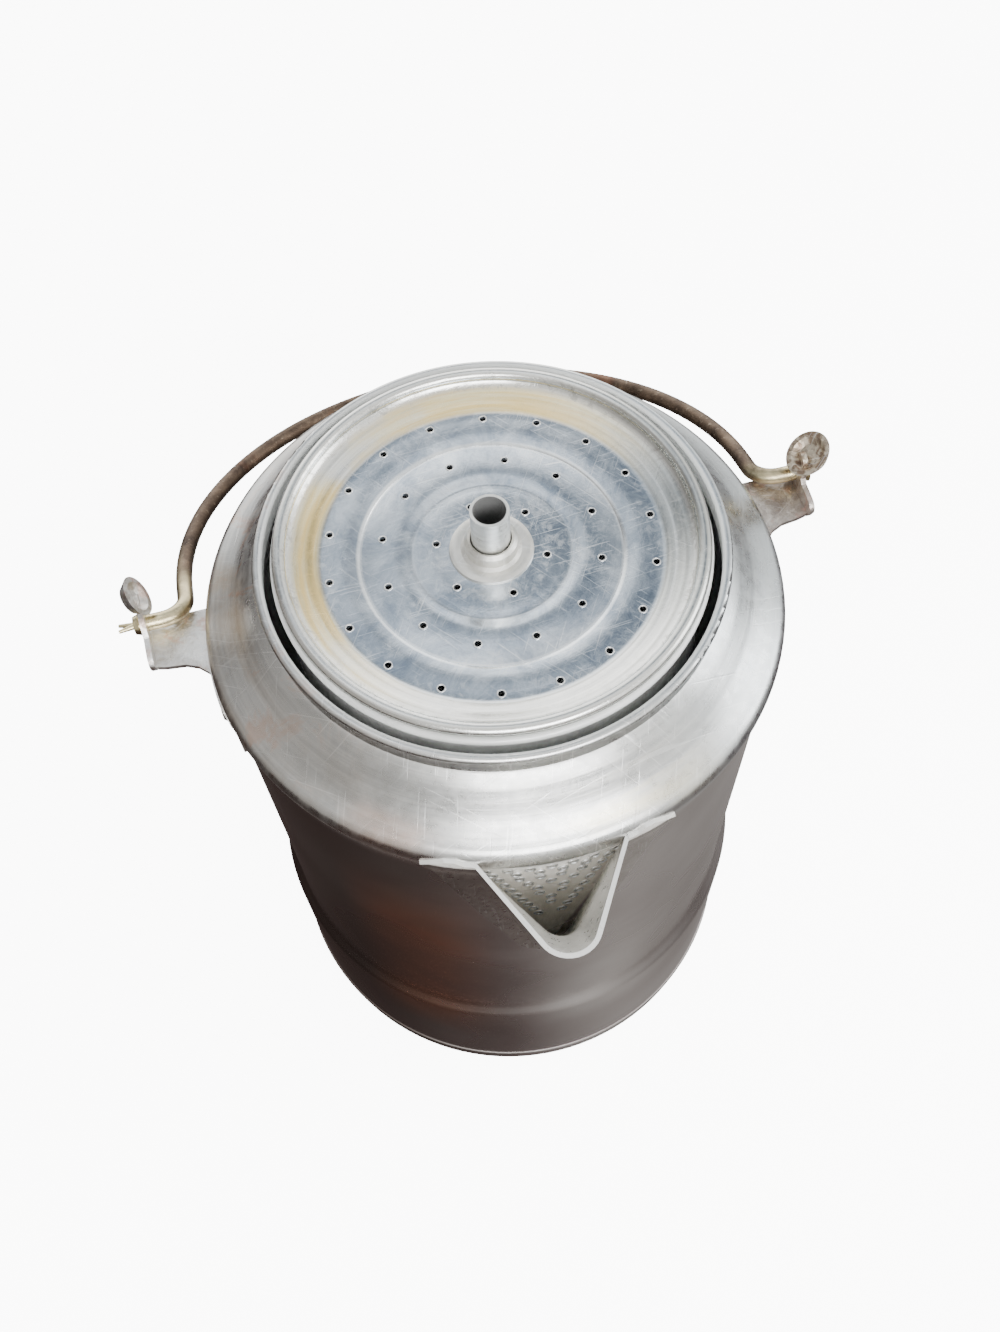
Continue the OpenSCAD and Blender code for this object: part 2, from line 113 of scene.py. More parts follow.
class Tree:
    """Short names for building one node tree."""

    def __init__(self, tree):
        self.nodes = tree.nodes
        self.links = tree.links

    def add(self, kind, **props):
        node = self.nodes.new(kind)
        for key, value in props.items():
            setattr(node, key, value)
        return node

    def put(self, socket, value):
        if isinstance(value, bpy.types.NodeSocket):
            self.links.new(value, socket)
        else:
            socket.default_value = value

    def math(self, op, a, b=0.0):
        node = self.add("ShaderNodeMath", operation=op)
        for socket, value in zip(node.inputs, (a, b)):
            self.put(socket, value)
        return node.outputs[0]

    def position(self):
        return self.add("ShaderNodeTexCoord").outputs["Object"]

    def normal(self):
        return self.add("ShaderNodeNewGeometry").outputs["Normal"]

    def split(self, vector):
        node = self.add("ShaderNodeSeparateXYZ")
        self.put(node.inputs[0], vector)
        return node.outputs

    def join(self, x, y, z):
        node = self.add("ShaderNodeCombineXYZ")
        for socket, value in zip(node.inputs, (x, y, z)):
            self.put(socket, value)
        return node.outputs[0]

    def polar(self):
        """Radius, turn (-pi to pi, 0 on +X) and height in metres."""
        x, y, z = self.split(self.position())
        radius = self.math("SQRT", self.total(self.times(x, x), self.times(y, y)))
        return radius, self.math("ARCTAN2", y, x), z

    def noise(self, vector, scale, detail=4.0, rough=0.55, distort=0.0):
        node = self.add("ShaderNodeTexNoise")
        self.put(node.inputs["Vector"], vector)
        node.inputs["Scale"].default_value = scale
        node.inputs["Detail"].default_value = detail
        node.inputs["Roughness"].default_value = rough
        node.inputs["Distortion"].default_value = distort
        return node.outputs["Fac"]

    def ramp(self, fac, stops):
        """stops: (place, value or colour) pairs."""
        node = self.add("ShaderNodeValToRGB")
        self.put(node.inputs[0], fac)
        elements = node.color_ramp.elements
        while len(elements) < len(stops):
            elements.new(0.5)
        for element, (place, value) in zip(elements, stops):
            element.position = place
            element.color = (*value, 1.0) if isinstance(value, tuple) else (value, value, value, 1.0)
        return node.outputs[0]

    def grade(self, value, low, high, to_low=0.0, to_high=1.0):
        """A straight change from to_low at low to to_high at high, where low is the smaller."""
        return self.ramp(value, ((low, to_low), (high, to_high)))

    def span(self, value, low, high, to_low=0.0, to_high=1.0):
        """A soft change from to_low at low to to_high at high, in either direction."""
        node = self.add("ShaderNodeMapRange", interpolation_type="SMOOTHSTEP")
        for socket, number in zip(node.inputs, (value, low, high, to_low, to_high)):
            self.put(socket, number)
        return node.outputs[0]

    def band(self, value, place, outer, inner):
        """1 within inner of place, and 0 from outer on."""
        return self.span(self.math("ABSOLUTE", self.math("SUBTRACT", value, place)), outer, inner)

    def mix(self, fac, a, b):
        node = self.add("ShaderNodeMix", data_type="RGBA")
        self.put(node.inputs["Factor"], fac)
        for socket, value in zip((node.inputs[6], node.inputs[7]), (a, b)):
            self.put(socket, (*value, 1.0) if isinstance(value, tuple) else value)
        return node.outputs[2]

    def tone(self, noise, low, high, dark, light):
        """dark where the noise is below low, light above high."""
        return self.mix(self.grade(noise, low, high), dark, light)

    def above(self, value, limit):
        node = self.add("FunctionNodeCompare", data_type="FLOAT", operation="GREATER_THAN")
        self.put(node.inputs[0], value)
        node.inputs[1].default_value = limit
        return node.outputs[0]

    def chain(self, op, values):
        result = values[0]
        for value in values[1:]:
            result = self.math(op, result, value)
        return result

    def times(self, *values):
        return self.chain("MULTIPLY", values)

    def total(self, *values):
        return self.chain("ADD", values)

    def most(self, *values):
        return self.chain("MAXIMUM", values)

    def rest(self, value):
        return self.math("SUBTRACT", 1.0, value)


def material(name, build, bump=None, metallic=1.0):
    """build(tree) gives colour, roughness, height and how dull, where None is nowhere dull.

    bump is (strength, distance).
    """
    mat = bpy.data.materials.new(name)
    mat.use_nodes = True
    tree = Tree(mat.node_tree)
    shader = tree.nodes["Principled BSDF"]
    colour, rough, height, dull = build(tree)
    shader.inputs["IOR"].default_value = REFRACTION
    if dull is None:
        shader.inputs["Metallic"].default_value = metallic
    else:
        tree.put(shader.inputs["Metallic"], tree.span(dull, 0.0, 1.0, metallic, DULL_METALLIC * metallic))
    tree.put(shader.inputs["Base Color"], colour)
    tree.put(shader.inputs["Roughness"], rough)
    if bump:
        node = tree.add("ShaderNodeBump")
        node.inputs["Strength"].default_value, node.inputs["Distance"].default_value = bump
        tree.put(node.inputs["Height"], height)
        tree.put(shader.inputs["Normal"], node.outputs[0])
    return mat


# ---------------------------------------------------------------- grain and scratches

def turned_lines(t, fine):
    """Streaks that run round the axis, as a lathe and scouring leave them."""
    radius, turn, z = t.polar()
    wave = t.join(t.times(radius, fine), t.times(t.math("COSINE", turn), 0.9),
                  t.total(t.times(z, fine), t.math("SINE", turn)))
    return t.noise(wave, 1.0, 5.0, 0.6)


def scratches(t, angle, across=1500.0, along=42.0):
    """Thin straight scratches that lie at one angle to +X, seen from above."""
    spin = t.add("ShaderNodeVectorRotate", rotation_type="Z_AXIS")
    t.put(spin.inputs["Vector"], t.position())
    spin.inputs["Angle"].default_value = math.radians(-angle)
    stretch = t.add("ShaderNodeVectorMath", operation="MULTIPLY")
    t.put(stretch.inputs[0], spin.outputs[0])
    stretch.inputs[1].default_value = (along, across, along)
    return t.span(t.noise(stretch.outputs[0], 1.0, 2.0, 0.4), 0.66, 0.70)


def sheet_scratches(t):
    return t.most(scratches(t, 40.0, 2200.0, 80.0), scratches(t, -25.0, 2000.0, 90.0))


# ---------------------------------------------------------------- the pot body

def shoulder_colour(t, grain):
    """Bright brushed metal with a painted blue-grey reflection on +X, brown stain and rosy patches on -X, and
    a painted warm reflection in front.
    """
    radius, turn, _ = t.polar()
    pale = t.tone(grain["lines"], 0.32, 0.68, (0.60, 0.61, 0.61), (0.84, 0.84, 0.82))
    pale = t.mix(t.times(t.grade(grain["broad"], 0.36, 0.56, 1.0, 0.0), 0.45), pale, (0.46, 0.46, 0.45))
    pale = t.mix(t.times(t.grade(grain["cloud"], 0.50, 0.66), 0.5), pale, (0.90, 0.90, 0.88))
    pale = t.mix(t.times(grain["scratch"], 0.55), pale, (0.95, 0.95, 0.94))
    # Painted reflection: the +X side is tinted a cooler, darker blue-grey.
    pale = t.mix(t.times(t.span(t.math("COSINE", turn), 0.35, 0.9), 0.6), pale, (0.62, 0.68, 0.72))
    pale = t.mix(t.times(grain["stain"], 0.8), pale, (0.52, 0.43, 0.33))
    rosy = t.times(grain["side"], t.grade(grain["cloud"], 0.56, 0.64))
    pale = t.mix(t.times(rosy, 0.6), pale, (0.70, 0.47, 0.36))
    # Painted warm reflection: an orange glow on the shoulder at the front left.
    shoulder_warm_reflection = t.times(t.band(turn, -2.10, 0.22, 0.04), t.span(radius, 0.0655, 0.0715),
                    t.grade(grain["blotch"], 0.36, 0.60, 0.2, 1.0))
    pale = t.mix(t.times(shoulder_warm_reflection, 0.85), pale, (1.0, 0.62, 0.46))
    gold = t.times(t.band(turn, -1.25, 0.40, 0.05), t.grade(grain["broad"], 0.45, 0.60),
                   t.span(radius, 0.061, 0.066))
    return t.mix(t.times(gold, 0.6), pale, (1.0, 0.92, 0.68))


def wall_colour(t, grain):
    """Smooth warm grey, with painted shade at the foot and on -X, a painted highlight along the base band and
    a painted warm reflection left of the spout.
    """
    _, turn, z = t.polar()
    x = t.split(t.position())[0]
    dark = t.tone(grain["tide"], 0.36, 0.64, (0.58, 0.53, 0.51), (0.80, 0.77, 0.75))
    dark = t.mix(t.times(t.grade(grain["lines"], 0.40, 0.80), 0.10), dark, (0.86, 0.85, 0.84))
    # Painted shade: darker towards the foot.
    dark = t.mix(t.times(t.span(z, 0.060, 0.040), 0.45), dark, (0.44, 0.38, 0.37))
    # Painted highlight: a light line along the base band.
    dark = t.mix(t.times(t.band(z, BASE_BAND_Z, 0.0060, 0.0006), 0.12), dark, (0.95, 0.92, 0.90))
    # Painted shade: the -X side of the wall is much darker.
    dark = t.mix(t.span(x, -0.022, -0.056, 0.0, 0.72), dark, (0.22, 0.165, 0.155))
    # Painted warm reflection: an orange glow on the wall left of the spout.
    wall_warm_reflection = t.times(t.band(turn, -2.08, 0.36, 0.04), t.grade(grain["tide"], 0.30, 0.55, 0.35, 1.0),
                   t.span(z, 0.030, 0.075), t.span(z, 0.180, 0.120))
    return t.mix(t.times(wall_warm_reflection, 0.9), dark, (1.0, 0.50, 0.33))


def strainer_mask(t):
    """1 on the pierced V of the wall that the spout covers."""
    radius, _, z = t.polar()
    x, y, _ = t.split(t.position())
    slope = (SPOUT_HALF - 0.008) / (SHOULDER_Z - SPOUT_TIP_Z - 0.002)
    v_half = t.times(t.math("SUBTRACT", z, SPOUT_TIP_Z + 0.002), slope)
    within = t.span(t.math("SUBTRACT", v_half, t.math("ABSOLUTE", x)), 0.0, 0.0012)
    return t.times(within, t.span(y, 0.0, -0.01), t.span(z, SHOULDER_Z - 0.0005, SHOULDER_Z - 0.002),
                   t.span(radius, 0.060, 0.070))


def inside_mask(t):
    """1 on the inner faces of the neck, the shoulder and the wall."""
    radius, _, z = t.polar()
    x, y, _ = t.split(t.position())
    nx, ny, nz = t.split(t.normal())
    inward = t.span(t.total(t.times(nx, x), t.times(ny, y)), -0.2 * NECK_RADIUS, -0.6 * NECK_RADIUS)
    neck = t.times(inward, t.span(z, SHOULDER_Z, SHOULDER_Z + 0.002))
    shoulder = t.times(t.span(nz, -0.10, -0.25), t.span(z, SHOULDER_Z - 0.002, SHOULDER_Z))
    wall = t.times(t.span(radius, WALL_RADIUS - 0.00035, WALL_RADIUS - 0.00065),
                   t.span(z, SHOULDER_Z + 0.001, SHOULDER_Z - 0.006))
    return t.most(neck, shoulder, wall)


def body_look(t):
    """Bright shoulder over a dull wall, with pale dull colour on the strainer as painted light reflected from
    the spout, and a dry pale oxidised skin inside.
    """
    radius, turn, z = t.polar()
    pos = t.position()
    grain = {
        "lines": turned_lines(t, 620.0),
        "broad": turned_lines(t, 110.0),
        "blotch": t.noise(pos, 24.0, 6.0, 0.62, 0.4),
        "cloud": t.noise(pos, 60.0, 6.0, 0.7, 0.6),
        "tide": t.noise(pos, 13.0, 4.0, 0.5, 0.3),
        "scratch": t.most(scratches(t, 18.0), scratches(t, -34.0, 1700.0, 30.0),
                          scratches(t, 74.0, 1300.0, 50.0)),
        "side": t.band(t.math("ABSOLUTE", turn), 3.0, 0.95, 0.1),
    }
    grain["stain"] = t.times(grain["side"], t.grade(grain["blotch"], 0.40, 0.58), t.span(radius, 0.060, 0.065))
    wall = t.span(z, SHOULDER_Z - 0.002, SHOULDER_Z - 0.012)
    strainer, inside = strainer_mask(t), inside_mask(t)
    colour = t.mix(wall, shoulder_colour(t, grain), wall_colour(t, grain))
    # Painted light: the strainer is pale and dull, standing for the light the spout reflects onto it.
    strainer_painted_light = t.tone(grain["cloud"], 0.40, 0.62, (0.84, 0.81, 0.74), (0.95, 0.93, 0.87))
    colour = t.mix(t.times(strainer, 0.9), colour, strainer_painted_light)
    colour = t.mix(t.times(inside, 0.9), colour, (0.92, 0.94, 0.93))
    smooth = t.most(wall, strainer)
    brushed = t.rest(smooth)
    scour = t.noise(pos, 240.0, 4.0, 0.7)
    top_rough = t.total(t.span(scour, 0.3, 0.7, 0.24, 0.36), t.times(grain["stain"], 0.15))
    wall_rough = t.span(grain["tide"], 0.3, 0.7, 0.25, 0.32)
    rough = t.total(t.times(top_rough, brushed), t.times(wall_rough, smooth), t.times(inside, 0.25))
    height = t.total(grain["lines"], t.times(grain["broad"], 0.8), t.times(scour, 0.25),
                     t.times(grain["scratch"], -0.6))
    return colour, rough, t.times(height, brushed), t.most(strainer, inside)


# ---------------------------------------------------------------- the other metals

def sheet_look(light, dark, low, high, dull=None):
    """Rubbed sheet aluminium with fine scratches and mottling; dull is how dry its skin is."""
    def build(t):
        pos = t.position()
        mottle = t.noise(pos, 90.0, 6.0, 0.64, 0.4)
        fine = t.noise(pos, 520.0, 4.0, 0.65)
        scratch = sheet_scratches(t)
        colour = t.mix(t.times(scratch, 0.4), t.tone(mottle, 0.34, 0.66, dark, light), (0.92, 0.92, 0.91))
        height = t.total(mottle, fine, t.times(scratch, -0.5))
        dry = None if dull is None else t.span(mottle, 0.3, 0.7, 0.8 * dull, dull)
        return colour, t.span(fine, 0.3, 0.7, low, high), height, dry
    return build


def spout_look(t):
    """Dulled like the wall outside, with painted light making the upward faces inside the lip pale and dull,
    and a painted highlight on the top edge that faces up.
    """
    pos = t.position()
    mottle = t.noise(pos, 90.0, 6.0, 0.64, 0.4)
    fine = t.noise(pos, 520.0, 4.0, 0.65)
    scratch = sheet_scratches(t)
    upward = t.split(t.normal())[2]
    # Faces that look up get painted light: paler and duller, and the flattest of them a painted highlight.
    inner, top_edge_highlight = t.span(upward, 0.06, 0.20), t.span(upward, 0.90, 0.96)
    skin = t.tone(mottle, 0.34, 0.66, (0.50, 0.46, 0.43), (0.70, 0.67, 0.63))
    lip = t.tone(mottle, 0.34, 0.66, (0.66, 0.64, 0.60), (0.92, 0.90, 0.85))
    # Painted highlight on the top edge, over painted light on the upward faces inside the lip.
    colour = t.mix(top_edge_highlight, t.mix(inner, skin, lip), (0.95, 0.94, 0.91))
    colour = t.mix(t.times(scratch, 0.4), colour, (0.92, 0.92, 0.91))
    height = t.total(mottle, fine, t.times(scratch, -0.5))
    return colour, t.span(fine, 0.3, 0.7, 0.26, 0.38), height, t.times(inner, 0.75)


def plate_colour(t, mottle, worn, scratch):
    """Blue-grey plate with white flecks and rubbed steps whose edges also carry painted highlights; gives
    colour and how dry.
    """
    radius = t.polar()[0]
    rub = t.noise(t.position(), 40.0, 4.0, 0.6)
    plate = t.tone(mottle, 0.34, 0.66, (0.32, 0.38, 0.46), (0.74, 0.80, 0.86))
    centre = t.span(radius, PLATE_RADIUS * 0.52, PLATE_RADIUS * 0.30)
    wear = t.times(t.grade(worn, 0.50, 0.60), t.most(t.grade(rub, 0.44, 0.60), t.times(centre, 0.8)))
    fleck = t.most(t.times(wear, 0.50), t.times(scratch, t.grade(rub, 0.38, 0.58, 0.10, 0.7)))
    plate = t.mix(fleck, plate, (0.95, 0.97, 0.98))
    # Bright rings on the step edges: partly rubbed wear, partly painted highlight.
    edge = t.most(t.band(radius, PLATE_RADIUS * 0.765, 0.0010, 0.0003),
                  t.times(t.band(radius, PLATE_RADIUS * 0.46, 0.0009, 0.0002), 0.4))
    bright = t.times(edge, t.grade(mottle, 0.30, 0.60, 0.35, 0.9))
    return t.mix(bright, plate, (0.92, 0.95, 0.97)), t.most(fleck, t.times(bright, 0.5))


def rim_wall_colour(t, lines, mottle, worn):
    """Stepped cream wall with painted shade in its step corners, painted highlights on its step edges, and
    yellow and brown coffee bands; gives colour and the stain.
    """
    radius, turn, _ = t.polar()
    cream = t.tone(lines, 0.35, 0.65, (0.70, 0.70, 0.67), (0.95, 0.95, 0.92))
    shade = t.span(t.math("COSINE", turn), 0.55, 0.95)
    cream = t.mix(t.times(shade, 0.6), cream, (0.46, 0.48, 0.46))
    # Painted shade in the step corners (dark rings) and painted highlights on the step edges (white rings).
    for place, tint in ((0.0003, (0.30, 0.30, 0.28)), (0.0024, (1.0, 1.0, 0.98)),
                        (0.0048, (0.45, 0.45, 0.42)), (0.0066, (1.0, 1.0, 0.98))):
        ring = t.band(radius, PLATE_RADIUS + place, 0.0005, 0.0001)
        cream = t.mix(t.times(ring, t.grade(mottle, 0.30, 0.60, 0.2, 0.6)), cream, tint)
    back_left = t.span(t.math("COSINE", t.math("SUBTRACT", turn, 2.25)), -0.45, 0.60)
    cloud = t.span(t.noise(t.position(), 34.0, 5.0), 0.28, 0.52)
    stain = t.times(back_left, cloud, t.span(radius, PLATE_RADIUS + 0.0072, PLATE_RADIUS + 0.0048))
    brown = t.times(stain, t.grade(turned_lines(t, 420.0), 0.42, 0.56))
    cream = t.mix(t.times(stain, 0.80), cream, (0.98, 0.84, 0.44))
    cream = t.mix(t.times(brown, 0.75), cream, (0.86, 0.60, 0.20))
    grime = t.times(t.grade(worn, 0.52, 0.60),
                    t.span(radius, PLATE_RADIUS + 0.0050, PLATE_RADIUS + 0.0066),
                    t.span(radius, PLATE_RADIUS + 0.0086, PLATE_RADIUS + 0.0076))
    return t.mix(t.times(grime, 0.6), cream, (0.42, 0.41, 0.38)), stain


def spreader_look(t):
    radius = t.polar()[0]
    pos = t.position()
    lines = turned_lines(t, 1000.0)
    mottle = t.noise(pos, 85.0, 8.0, 0.70, 0.6)
    worn = t.noise(pos, 300.0, 6.0, 0.72, 1.0)
    scratch = t.most(scratches(t, 8.0, 1900.0, 70.0), scratches(t, -48.0, 1700.0, 60.0),
                     scratches(t, 62.0, 2100.0, 80.0))
    wall = t.span(radius, PLATE_RADIUS - 0.0012, PLATE_RADIUS + 0.0006)
    plate, dry = plate_colour(t, mottle, worn, scratch)
    cream, stain = rim_wall_colour(t, lines, mottle, worn)
    rough = t.total(t.span(worn, 0.3, 0.7, 0.14, 0.26), t.times(wall, 0.03))
    height = t.total(t.times(lines, 0.7), t.times(mottle, 1.2), worn, t.times(scratch, -0.5))
    dull = t.most(t.times(dry, t.rest(wall), 0.45), t.times(stain, 0.3))
    return t.mix(wall, plate, cream), rough, height, dull


def ear_look(t):
    """Creased sheet, pale on -X and brown on +X, with a brown and brassy wing on +X."""
    pos = t.position()
    x, _, z = t.split(pos)
    mottle = t.noise(pos, 150.0, 6.0, 0.68, 0.6)
    fine = t.noise(pos, 520.0, 4.0, 0.65)
    crease = t.noise(pos, 380.0, 3.0, 0.6, 1.2)
    scratch = sheet_scratches(t)
    right = t.span(x, -0.02, 0.02)
    light = t.tone(mottle, 0.38, 0.62, (0.60, 0.57, 0.53), (0.93, 0.92, 0.90))
    dark = t.tone(mottle, 0.38, 0.62, (0.36, 0.31, 0.28), (0.66, 0.61, 0.56))
    colour = t.mix(right, light, dark)
    colour = t.mix(t.grade(t.noise(pos, 210.0, 4.0), 0.54, 0.66, 0.0, 0.7), colour, (0.66, 0.46, 0.38))
    wing = t.times(t.span(z, HINGE_Z + 0.0035, HINGE_Z + 0.0060), right)
    colour = t.mix(wing, colour, t.tone(crease, 0.40, 0.60, (0.26, 0.19, 0.14), (0.66, 0.58, 0.46)))
    colour = t.mix(t.times(scratch, 0.3), colour, (0.92, 0.92, 0.91))
    height = t.total(t.times(mottle, 1.4), t.times(crease, 1.2), fine, t.times(scratch, -0.5))
    return colour, t.span(fine, 0.3, 0.7, 0.32, 0.48), height, None


def bail_look(t):
    """Dark brown wire, rubbed to a brassy shine where it turns in the ears."""
    pos = t.position()
    x, y, _ = t.split(pos)
    coarse = t.noise(pos, 110.0, 6.0, 0.65, 0.4)
    fine = t.noise(pos, 700.0, 4.0, 0.7)
    colour = t.tone(coarse, 0.34, 0.66, (0.050, 0.036, 0.030), (0.20, 0.145, 0.105))
    colour = t.mix(t.grade(fine, 0.58, 0.70, 0.0, 0.7), colour, (0.36, 0.29, 0.22))
    colour = t.mix(t.grade(t.noise(pos, 45.0, 3.0), 0.52, 0.66, 0.0, 0.5), colour, (0.33, 0.16, 0.10))
    out = t.span(t.math("ABSOLUTE", x), PIVOT_X - 0.004, PIVOT_X + 0.003)
    near = t.span(y, 0.030, 0.019)
    rub = t.times(t.most(out, t.times(near, 0.75)), t.grade(coarse, 0.28, 0.52, 0.35, 1.0))
    colour = t.mix(rub, colour, (0.78, 0.68, 0.42))
    return colour, t.span(rub, 0.0, 1.0, 0.50, 0.24), t.total(t.times(coarse, 1.5), fine), None


def tube_look(t):
    """Pale turned tube, with painted shade making its bore dark, and the bore dull."""
    radius = t.polar()[0]
    lines = turned_lines(t, 1400.0)
    spots = t.noise(t.position(), 360.0, 5.0, 0.75)
    colour = t.tone(lines, 0.3, 0.7, (0.74, 0.74, 0.71), (0.95, 0.95, 0.92))
    colour = t.mix(t.grade(spots, 0.56, 0.68, 0.0, 0.7), colour, (0.50, 0.49, 0.46))
    # Painted shade: the bore is coloured dark.
    inside = t.span(radius, TUBE_BORE + 0.00015, TUBE_BORE)
    colour = t.mix(inside, colour, (0.20, 0.20, 0.20))
    return colour, t.span(spots, 0.3, 0.7, 0.36, 0.56), t.total(lines, t.times(spots, 1.4)), inside


LOOKS = {
    "body": material("body_aluminium", body_look, (0.12, 0.0004)),
    "spout": material("spout_aluminium", spout_look, (0.08, 0.0003)),
    "ear": material("ear_aluminium", ear_look, (0.3, 0.0006)),
    "rivet": material("rivet_aluminium", sheet_look((0.72, 0.70, 0.67), (0.55, 0.52, 0.49), 0.3, 0.45),
                      (0.1, 0.0003)),
    "bail": material("bail_steel", bail_look, (0.25, 0.0004)),
    "tube": material("tube_aluminium", tube_look, (0.15, 0.0002)),
    "pump": material("pump_aluminium", sheet_look((0.68, 0.68, 0.66), (0.5, 0.5, 0.48), 0.3, 0.45),
                     (0.1, 0.0003)),
    "valve": material("valve_metal", sheet_look((0.55, 0.55, 0.54), (0.4, 0.4, 0.39), 0.25, 0.4),
                      (0.08, 0.0002)),
    "basket": material("basket_aluminium",
                       sheet_look((0.94, 0.95, 0.94), (0.80, 0.81, 0.80), 0.30, 0.46, dull=0.9),
                       (0.08, 0.0003)),
    "spreader": material("spreader_aluminium", spreader_look, (0.11, 0.0003)),
    "burr": material("burr_aluminium", sheet_look((0.92, 0.93, 0.93), (0.74, 0.75, 0.76), 0.30, 0.46),
                     (0.1, 0.0001)),
    "collar": material("collar_aluminium", sheet_look((0.84, 0.83, 0.79), (0.64, 0.63, 0.59), 0.36, 0.52),
                       (0.15, 0.0003)),
}
WEARS = {
    "pot_body": "body", "spout": "spout", "left_ear": "ear", "right_ear": "ear",
    "left_ear_rivets": "rivet", "right_ear_rivets": "rivet", "bail_wire": "bail",
    "pump_tube": "tube", "pump_bell": "pump", "valve_seat": "pump", "valve_disc": "valve",
    "basket_stop": "pump", "basket": "basket", "basket_eyelet": "basket",
    "spreader_plate": "spreader", "spreader_collar": "collar",
}


def smoother(limit):
    """A modifier's node group that shades smooth over edges flatter than limit degrees."""
    group = bpy.data.node_groups.new("smoother", "GeometryNodeTree")
    group.interface.new_socket("Geometry", in_out="INPUT", socket_type="NodeSocketGeometry")
    group.interface.new_socket("Geometry", in_out="OUTPUT", socket_type="NodeSocketGeometry")
    t = Tree(group)
    start, end = t.add("NodeGroupInput"), t.add("NodeGroupOutput")
    weld = t.add("GeometryNodeMergeByDistance")
    weld.inputs["Distance"].default_value = WELD_DISTANCE
    drop = t.add("GeometryNodeRemoveAttribute")
    drop.inputs["Name"].default_value = "custom_normal"
    faces = t.add("GeometryNodeSetShadeSmooth", domain="FACE")
    edges = t.add("GeometryNodeSetShadeSmooth", domain="EDGE")
    edges.inputs["Shade Smooth"].default_value = False
    angle = t.add("GeometryNodeInputMeshEdgeAngle")
    t.put(edges.inputs["Selection"], t.above(angle.outputs["Unsigned Angle"], math.radians(limit)))
    t.put(weld.inputs["Geometry"], start.outputs[0])
    t.put(drop.inputs["Geometry"], weld.outputs[0])
    t.put(faces.inputs["Geometry"], drop.outputs[0])
    t.put(edges.inputs["Geometry"], faces.outputs[0])
    t.put(end.inputs[0], edges.outputs[0])
    return group


def dress_nodes():
    """Gives each CAD node its material and its smooth shading."""
    smooth = smoother(SHARP_EDGE_DEGREES)
    for node, look in WEARS.items():
        slots = NODES[node].data.materials
        if len(slots):
            slots[0] = LOOKS[look]
        else:
            slots.append(LOOKS[look])
        NODES[node].modifiers.new("smooth", "NODES").node_group = smooth


# ---------------------------------------------------------------- burrs round the holes

def ring_of(bm, place, normal, radius, section):
    """One raised burr, a small lumpy ring that stands on a surface."""
    turn = Vector((0.0, 0.0, 1.0)).rotation_difference(normal).to_matrix()
    rows = []
    for i in range(BURR_SIDES):
        a = 2.0 * math.pi * i / BURR_SIDES
        swell = section * (1.0 + 0.25 * math.sin(3.0 * a + 900.0 * place.x + 500.0 * place.y))
        row = []
        for k in range(BURR_STEPS):
            b = 2.0 * math.pi * k / BURR_STEPS
            reach = radius + swell * math.cos(b)
            point = Vector((reach * math.cos(a), reach * math.sin(a), swell * math.sin(b)))
            row.append(bm.verts.new(place + turn @ point))
        rows.append(row)
    for i in range(BURR_SIDES):
        for k in range(BURR_STEPS):
            j, m = (i + 1) % BURR_SIDES, (k + 1) % BURR_STEPS
            face = bm.faces.new((rows[i][k], rows[j][k], rows[j][m], rows[i][m]))
            face.smooth = True


def burr_piece(name, bm, body):
    mesh = bpy.data.meshes.new(name)
    bmesh.ops.recalc_face_normals(bm, faces=bm.faces)
    bm.to_mesh(mesh)
    bm.free()
    mesh.materials.append(LOOKS["burr"])
    obj = bpy.data.objects.new(name, mesh)
    bpy.context.collection.objects.link(obj)
    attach(obj, body)


def spreader_burrs():
    bm = bmesh.new()
    for count, share, start, lift in SPREADER_RINGS:
        for i in range(count):
            a = math.radians(start + 360.0 * i / count)
            reach = PLATE_RADIUS * share
            place = Vector((reach * math.cos(a), reach * math.sin(a), PLATE_Z + lift))
            ring_of(bm, place, Vector((0.0, 0.0, 1.0)), *SPREADER_BURR)
    burr_piece("spreader_burrs", bm, "spreader")


def strainer_burrs():
    bm = bmesh.new()
    for row in range(STRAINER_ROWS):
        half = STRAINER_HALF * (STRAINER_TOP_SHARE - STRAINER_ROW_SHARE * row)
        count = int(2.0 * half / STRAINER_PITCH) + 1
        bulge = STRAINER_BULGE * max(0.0, 1.0 - row / STRAINER_BULGE_ROWS)
        for i in range(count):
            x = half * (2.0 * i / (count - 1) - 1.0) if count > 1 else 0.0
            a = math.asin(x / WALL_RADIUS)
            normal = Vector((math.sin(a), -math.cos(a), 0.0))
            place = normal * (WALL_RADIUS + bulge)
            place.z = SHOULDER_Z - STRAINER_FIRST_DROP - STRAINER_DROP * row
            ring_of(bm, place, normal, *STRAINER_BURR)
    burr_piece("strainer_burrs", bm, "pot")


# ---------------------------------------------------------------- floor, light, camera

def floor():
    """White paper that glows, but lights nothing and does not show in the metal."""
    corners = [(-FLOOR_HALF, -FLOOR_HALF, 0), (FLOOR_HALF, -FLOOR_HALF, 0),
               (FLOOR_HALF, FLOOR_HALF, 0), (-FLOOR_HALF, FLOOR_HALF, 0)]
    mesh = bpy.data.meshes.new("floor")
    mesh.from_pydata(corners, [], [(0, 1, 2, 3)])
    obj = bpy.data.objects.new("floor", mesh)
    bpy.context.collection.objects.link(obj)
    paper = sheet_look((0.93, 0.93, 0.92), (0.90, 0.90, 0.89), 0.85, 0.95)
    look = material("floor_paper", paper, metallic=0.0)
    shader = look.node_tree.nodes["Principled BSDF"]
    shader.inputs["Emission Color"].default_value = (1.0, 1.0, 1.0, 1.0)
    shader.inputs["Emission Strength"].default_value = FLOOR_GLOW
    mesh.materials.append(look)
    obj.visible_glossy = False
    obj.visible_diffuse = False


def area_light(name, place, aim, size, power, colour=(1.0, 1.0, 1.0)):
    data = bpy.data.lights.new(name, "AREA")
    data.shape = "RECTANGLE"
    data.size, data.size_y = size
    data.energy = power
    data.color = colour
    obj = bpy.data.objects.new(name, data)
    bpy.context.collection.objects.link(obj)
    obj.location = place
    obj.rotation_euler = (Vector(aim) - Vector(place)).to_track_quat("-Z", "Y").to_euler()


